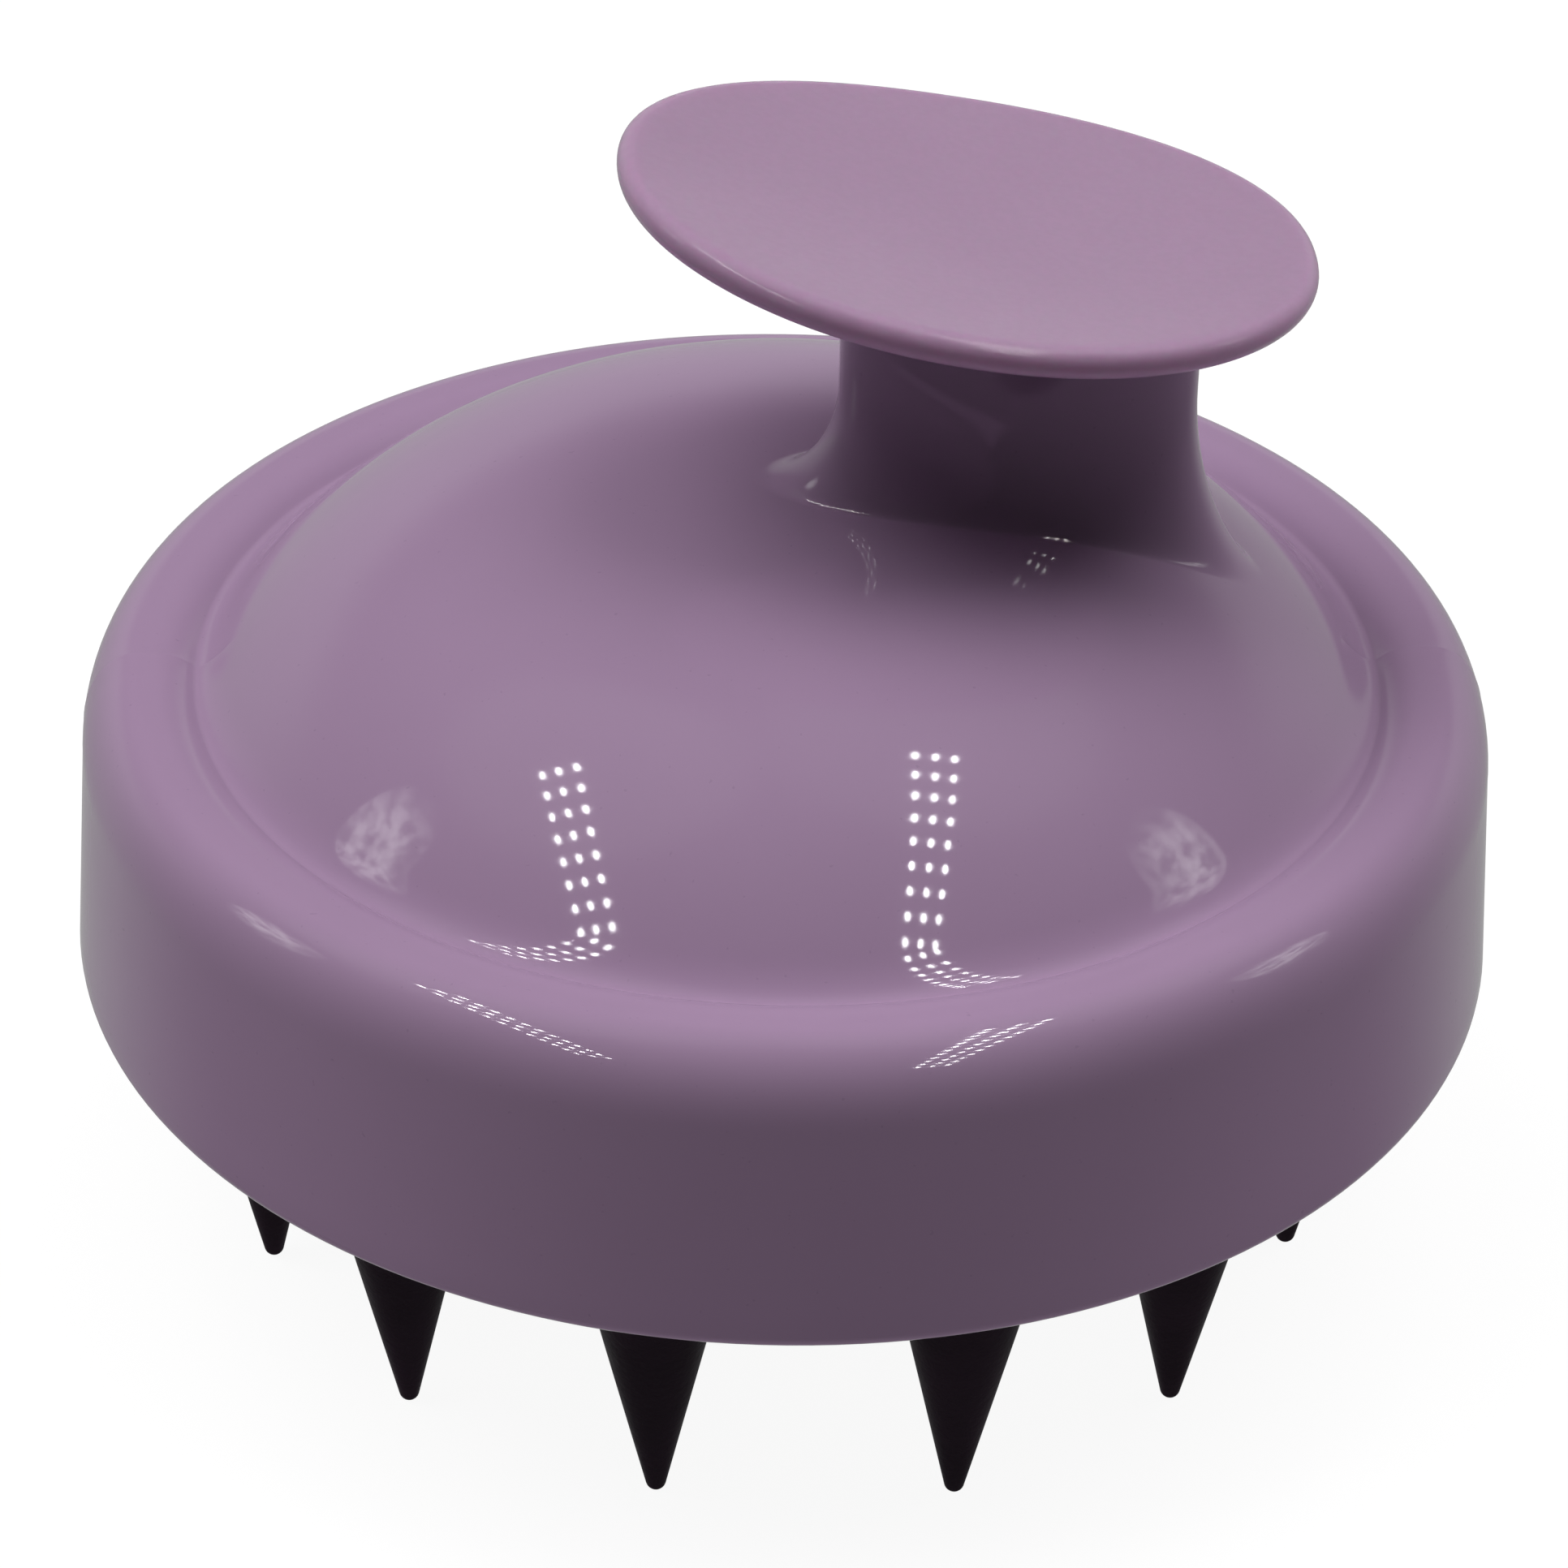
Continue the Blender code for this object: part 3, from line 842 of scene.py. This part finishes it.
def gloss_plastic():
    """Polished coloured ABS: faint flow clouds, the finest ripple, a few hairline scratches and specks."""
    made, tree, shader = new_material("lilac_gloss_plastic", IOR=1.5)
    place = object_place(tree)
    clouds = ranged(tree, noise(tree, place, 45.0, 3.0), 0.3, 0.7, 0.0, 1.0)
    colour = mixed(tree, clouds, tinted(SHELL_COLOUR, 0.975), tinted(SHELL_COLOUR, 1.02))
    specks = ranged(tree, noise(tree, place, 2600.0, 1.0), 0.74, 0.80, 0.0, 0.35)
    colour = mixed(tree, specks, colour, tinted(SHELL_COLOUR, 0.7))
    tree.links.new(colour, shader.inputs["Base Color"])
    smear = noise(tree, place, 90.0, 5.0, 0.6, (1.0, 2.2, 1.0))
    roughness = ranged(tree, smear, 0.3, 0.75, 0.035, 0.06)
    tree.links.new(roughness, shader.inputs["Roughness"])
    ripple = noise(tree, place, 260.0, 2.0)
    scratch = noise(tree, place, 420.0, 1.0, 0.5, (0.25, 7.0, 3.0))
    scratch = ranged(tree, scratch, 0.72, 0.76, 0.0, 1.0)
    normal = bumped(tree, ripple, 0.0000006)
    normal = bumped(tree, scratch, 0.0000006, 0.4, normal)
    tree.links.new(normal, shader.inputs["Normal"])
    return made


def satin_plastic():
    """The palm pad's finely textured plastic, a little worn in soft random patches."""
    made, tree, shader = new_material("lilac_satin_plastic", IOR=1.4, Subsurface_Weight=0.8)
    shader.inputs["Subsurface Radius"].default_value = (1.0, 0.55, 0.8)
    shader.inputs["Subsurface Scale"].default_value = 0.0024
    place = object_place(tree)
    clouds = ranged(tree, noise(tree, place, 60.0, 4.0), 0.3, 0.7, 0.0, 1.0)
    colour = mixed(tree, clouds, tinted(GRIP_COLOUR, 0.97), tinted(GRIP_COLOUR, 1.02))
    fine = ranged(tree, noise(tree, place, 1900.0, 2.0), 0.35, 0.65, 0.0, 0.3)
    colour = mixed(tree, fine, colour, tinted(GRIP_COLOUR, 0.9))
    tree.links.new(colour, shader.inputs["Base Color"])
    rub = noise(tree, place, 75.0, 4.0, 0.6)
    tree.links.new(ranged(tree, rub, 0.3, 0.7, 0.11, 0.17), shader.inputs["Roughness"])
    grain = noise(tree, place, 1500.0, 3.0, 0.6)
    tree.links.new(bumped(tree, grain, 0.000008, 0.8), shader.inputs["Normal"])
    return made


def inner_plastic():
    """Plain moulded plastic with a spark-eroded grain and faint flow marks."""
    made, tree, shader = new_material("grey_inner_plastic", IOR=1.48)
    place = object_place(tree)
    flow = noise(tree, place, 70.0, 5.0, 0.65)
    colour = mixed(tree, flow, tinted(INNER_COLOUR, 0.88), tinted(INNER_COLOUR, 1.08))
    tree.links.new(colour, shader.inputs["Base Color"])
    tree.links.new(ranged(tree, flow, 0.3, 0.7, 0.42, 0.58), shader.inputs["Roughness"])
    grain = noise(tree, place, 1300.0, 4.0, 0.7)
    tree.links.new(bumped(tree, grain, 0.00006), shader.inputs["Normal"])
    return made


def silicone():
    """Plum silicone with a nearly black base colour, partly its own dark plum and partly painted shade from
    the deep shadow under the shell, with a dusty bloom and the fine grain of its mould.
    """
    made, tree, shader = new_material("plum_silicone", IOR=1.35, Specular_IOR_Level=0.3)
    shader.inputs["Sheen Weight"].default_value = 0.012
    shader.inputs["Sheen Roughness"].default_value = 0.5
    place = object_place(tree)
    dust = ranged(tree, noise(tree, place, 110.0, 5.0, 0.6), 0.4, 0.8, 0.0, 0.6)
    # Base colour: the silicone's plum darkened with painted shade, lighter in dusty patches
    colour = mixed(tree, dust, SILICONE_WITH_PAINTED_SHADE_COLOUR, tinted(SILICONE_WITH_PAINTED_SHADE_COLOUR, 1.8))
    tree.links.new(colour, shader.inputs["Base Color"])
    smear = noise(tree, place, 160.0, 4.0)
    tree.links.new(ranged(tree, smear, 0.3, 0.7, 0.46, 0.62), shader.inputs["Roughness"])
    grain = noise(tree, place, 2200.0, 3.0, 0.6)
    tree.links.new(bumped(tree, grain, 0.00004), shader.inputs["Normal"])
    return made


def zinc_steel():
    """Zinc-plated steel with turning marks round the screw's axis."""
    made, tree, shader = new_material("zinc_steel", Metallic=1.0)
    place = object_place(tree)
    patch = noise(tree, place, 500.0, 3.0)
    colour = mixed(tree, patch, ZINC_DARK, ZINC_PALE)
    tree.links.new(colour, shader.inputs["Base Color"])
    tree.links.new(ranged(tree, patch, 0.3, 0.7, 0.24, 0.4), shader.inputs["Roughness"])
    links = {"Vector": place, "Scale": 900.0, "Distortion": 0.6}
    marks = add_node(tree, "ShaderNodeTexWave", links, wave_type="RINGS", rings_direction="Z")
    tree.links.new(bumped(tree, marks.outputs["Fac"], 0.000008), shader.inputs["Normal"])
    return made


# Floor, light and camera


def make_floor():
    """A pale floor under the teeth. It takes the object's shadow, and is seen only from above."""
    outline = circle(FLOOR_RADIUS, FLOOR_Z, even_shares(64))
    floor = add_object("floor", flat_mesh("floor", [outline]))
    made, tree, shader = new_material("pale_floor", Roughness=0.9, Specular_IOR_Level=0.1)
    shader.inputs["Base Color"].default_value = FLOOR_COLOUR
    shader.inputs["Emission Color"].default_value = WHITE
    shader.inputs["Emission Strength"].default_value = FLOOR_GLOW
    back = add_node(tree, "ShaderNodeNewGeometry").outputs["Backfacing"]
    clear = add_node(tree, "ShaderNodeBsdfTransparent").outputs["BSDF"]
    choice = add_node(tree, "ShaderNodeMixShader", {0: back, 1: shader.outputs["BSDF"], 2: clear})
    tree.links.new(choice.outputs["Shader"], tree.nodes["Material Output"].inputs["Surface"])
    floor.data.materials.append(made)
    floor.visible_diffuse = False
    floor.visible_glossy = False


def stepped(tree, value, low, high, to_low, to_high):
    """A smooth step of a direction's part, for the studio's light."""
    links = {"Value": value, "From Min": low, "From Max": high, "To Min": to_low, "To Max": to_high}
    return add_node(tree, "ShaderNodeMapRange", links, interpolation_type="SMOOTHSTEP").outputs["Result"]


def worked(tree, operation, first, second=0.0):
    links = {0: first, 1: second}
    return add_node(tree, "ShaderNodeMath", links, operation=operation).outputs[0]


def heading(azimuth, elevation):
    """The unit direction to a place round the object; azimuth 0 is towards -Y, 90 degrees +X."""
    level = cos(elevation)
    return Vector((sin(azimuth) * level, -cos(azimuth) * level, sin(elevation)))


def soft_light_on(tree, direction, parts):
    """What a matt surface sees of the studio, by direction."""
    total = stepped(tree, parts["Z"], -0.8, -0.2, TABLE_BOUNCE, 0.0)
    for azimuth, elevation, strength in SOFT_BOXES:
        links = {0: direction, 1: heading(azimuth, elevation)}
        towards = add_node(tree, "ShaderNodeVectorMath", links, operation="DOT_PRODUCT").outputs["Value"]
        total = worked(tree, "ADD", total, stepped(tree, towards, *SOFT_BOX_EDGE, 0.0, strength))
    level = stepped(tree, worked(tree, "ABSOLUTE", parts["Z"]), 0.3, 0.6, 1.0, 0.0)
    right = stepped(tree, parts["X"], 0.5, 0.8, 0.0, ROOM_RIGHT)
    sides = worked(tree, "ADD", right, stepped(tree, parts["X"], -0.8, -0.5, ROOM_LEFT, 0.0))
    sides = worked(tree, "MULTIPLY", sides, stepped(tree, parts["Y"], -0.4, 0.2, 0.0, 1.0))
    return worked(tree, "ADD", total, worked(tree, "MULTIPLY", sides, level))


def make_studio():
    """A soft white studio, plain white to the camera, its soft boxes dimmed in glossy surfaces."""
    world = bpy.data.worlds.new("studio")
    bpy.context.scene.world = world
    world.use_nodes = True
    tree = world.node_tree
    direction = add_node(tree, "ShaderNodeTexCoord").outputs["Generated"]
    parts = add_node(tree, "ShaderNodeSeparateXYZ", {0: direction}).outputs
    path = add_node(tree, "ShaderNodeLightPath").outputs
    soft = soft_light_on(tree, direction, parts)
    kept = stepped(tree, path["Is Glossy Ray"], 0.0, 1.0, 1.0, SOFT_BOX_GLOSS)
    behind = stepped(tree, parts["Y"], *SURROUND_EDGE, 0.0, SURROUND_LIGHT)
    behind = worked(tree, "MULTIPLY", behind, stepped(tree, parts["Z"], 0.25, 0.45, 1.0, 0.0))
    behind = worked(tree, "MULTIPLY", behind, path["Is Glossy Ray"])
    total = worked(tree, "ADD", worked(tree, "MULTIPLY", soft, kept), behind)
    total = worked(tree, "ADD", total, STUDIO_BASE)
    background = tree.nodes["Background"]
    background.inputs["Color"].default_value = WHITE
    tree.links.new(total, background.inputs["Strength"])
    white = add_node(tree, "ShaderNodeBackground", {"Color": WHITE, "Strength": 1.0})
    links = {0: path["Is Camera Ray"], 1: background.outputs[0], 2: white.outputs[0]}
    choice = add_node(tree, "ShaderNodeMixShader", links)
    tree.links.new(choice.outputs[0], tree.nodes["World Output"].inputs["Surface"])


def glow_panel(name, mesh, strength):
    """A light that only glossy surfaces see."""
    panel = add_object(name, mesh)
    made = bpy.data.materials.new(name)
    made.use_nodes = True
    tree = made.node_tree
    glow = add_node(tree, "ShaderNodeEmission", {"Strength": strength})
    tree.links.new(glow.outputs[0], tree.nodes["Material Output"].inputs["Surface"])
    mesh.materials.append(made)
    panel.visible_camera = False
    panel.visible_diffuse = False
    return tree, glow


def led_panel(name, first, row_step, column_step):
    """A slim ceiling panel of small round lights, seen in gloss as rows of dots."""
    first, row_step, column_step = Vector(first), Vector(row_step), Vector(column_step)
    dots = []
    for row in range(LED_ROWS):
        for column in range(LED_COLUMNS):
            centre = first + row_step * row + column_step * (column - 1)
            dot = []
            for share in even_shares(12):
                turn = 2 * pi * share
                dot.append(centre + row_step * DOT_LENGTH * cos(turn) + column_step * DOT_WIDTH * sin(turn))
            dots.append(dot)
    glow_panel(name, flat_mesh(name, dots), DOT_LIGHT)


def window_panel(name, azimuth):
    """A dim, mottled patch of light to one side, soft at its edges."""
    out = heading(azimuth, WINDOW_ELEVATION)
    across = out.cross(Vector((0, 0, 1))).normalized()
    up = across.cross(out)
    outline = []
    for share in even_shares(32):
        turn = 2 * pi * share
        beside = out * WINDOW_DISTANCE + across * WINDOW_HALF_WIDTH * cos(turn)
        outline.append(beside + up * WINDOW_HALF_HEIGHT * sin(turn))
    tree, glow = glow_panel(name, flat_mesh(name, [outline]), WINDOW_LIGHT)
    place = object_place(tree)
    middle = tuple(out * WINDOW_DISTANCE * MM)
    links = {0: place, 1: middle}
    apart = add_node(tree, "ShaderNodeVectorMath", links, operation="DISTANCE").outputs["Value"]
    soft = stepped(tree, apart, WINDOW_HALF_WIDTH * 0.3 * MM, WINDOW_HALF_HEIGHT * MM, 1.0, 0.0)
    mottled = ranged(tree, noise(tree, place, 22.0, 4.0, 0.7), 0.4, 0.62, 0.15, 1.0)
    strength = worked(tree, "MULTIPLY", worked(tree, "MULTIPLY", soft, mottled), WINDOW_LIGHT)
    tree.links.new(strength, glow.inputs["Strength"])


def make_lights():
    for panel in LED_PANELS:
        led_panel(*panel)
    for window in WINDOWS:
        window_panel(*window)


def make_camera():
    data = bpy.data.cameras.new("camera")
    data.lens = CAMERA_LENS
    camera = add_object("camera", data)
    place = Vector((0.0, 0.0, LIP_Z)) + heading(CAMERA_AZIMUTH, CAMERA_ELEVATION) * CAMERA_DISTANCE
    camera.location = place * MM
    camera.rotation_mode = "QUATERNION"
    facing = (CAMERA_AIM - place).to_track_quat("-Z", "Y")
    camera.rotation_quaternion = facing @ Quaternion((0, 0, 1), CAMERA_ROLL)
    data.clip_start = 0.01
    data.clip_end = 20.0
    bpy.context.scene.camera = camera


make_camera()
make_floor()
make_studio()
make_lights()
make_shell(gloss_plastic())
make_grip(satin_plastic())
make_pad(silicone())
make_plate(inner_plastic())
make_screws(zinc_steel())
bpy.context.scene.view_settings.view_transform = "Standard"
